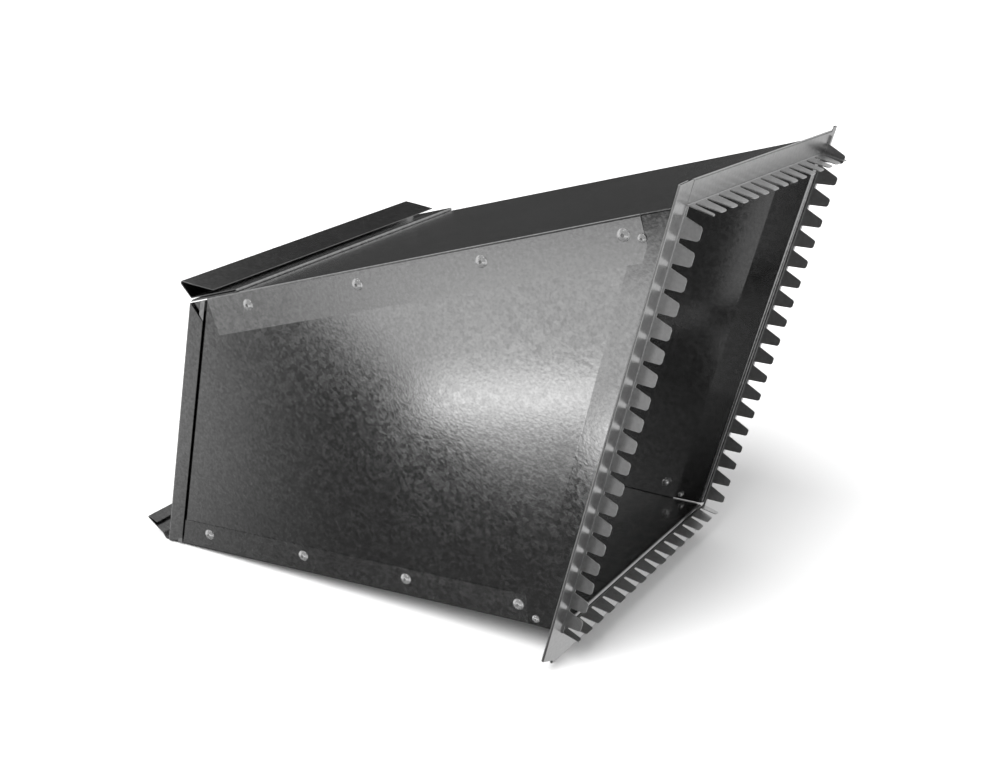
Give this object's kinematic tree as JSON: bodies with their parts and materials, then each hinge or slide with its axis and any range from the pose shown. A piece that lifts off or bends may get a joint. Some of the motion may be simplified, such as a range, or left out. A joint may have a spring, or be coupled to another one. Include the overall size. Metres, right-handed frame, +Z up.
{
  "type": "rectangular duct take-off",
  "caption": "Galvanised sheet-metal branch take-off: a toothed tap flange joins a main duct, a tapered body leads to a smaller end with slip and drive joints.",
  "frame": {"origin": "centre of the part's own box, at the level of the surface it stands on", "axes": "+Z up, +X from the branch end towards the toothed opening, +Y across the duct; the part stands on the lower edge of its flange and the lower edge of its branch end, so the flange face leans forward at the top"},
  "size_m": [0.524, 0.309, 0.394],
  "materials": {
    "panel_sheet": "spangled galvanised sheet, satin with a soft gloss",
    "flange_sheet": "galvanised sheet, smooth and glossier than the panels",
    "cleat_sheet": "galvanised sheet, satin",
    "rivet_body": "plain aluminium, slightly dull",
    "rivet_mandrel": "plain steel"
  },
  "bodies": {
    "root": {"bottom_panel": "panel_sheet", "bottom_rivet_mandrels_left": "rivet_mandrel", "bottom_rivet_mandrels_right": "rivet_mandrel", "bottom_rivet_shells_left": "rivet_body", "bottom_rivet_shells_right": "rivet_body", "flange_strip_bottom": "flange_sheet", "flange_strip_left": "flange_sheet", "flange_strip_right": "flange_sheet", "flange_strip_top": "flange_sheet", "side_panel_left": "panel_sheet", "side_panel_right": "panel_sheet", "slip_cleat_bottom": "cleat_sheet", "slip_cleat_top": "cleat_sheet", "stitch_rivet_mandrels_left": "rivet_mandrel", "stitch_rivet_mandrels_right": "rivet_mandrel", "stitch_rivet_shells_left": "rivet_body", "stitch_rivet_shells_right": "rivet_body", "top_panel": "panel_sheet", "top_rivet_mandrels_left": "rivet_mandrel", "top_rivet_mandrels_right": "rivet_mandrel", "top_rivet_shells_left": "rivet_body", "top_rivet_shells_right": "rivet_body"}
  },
  "joints": []
}
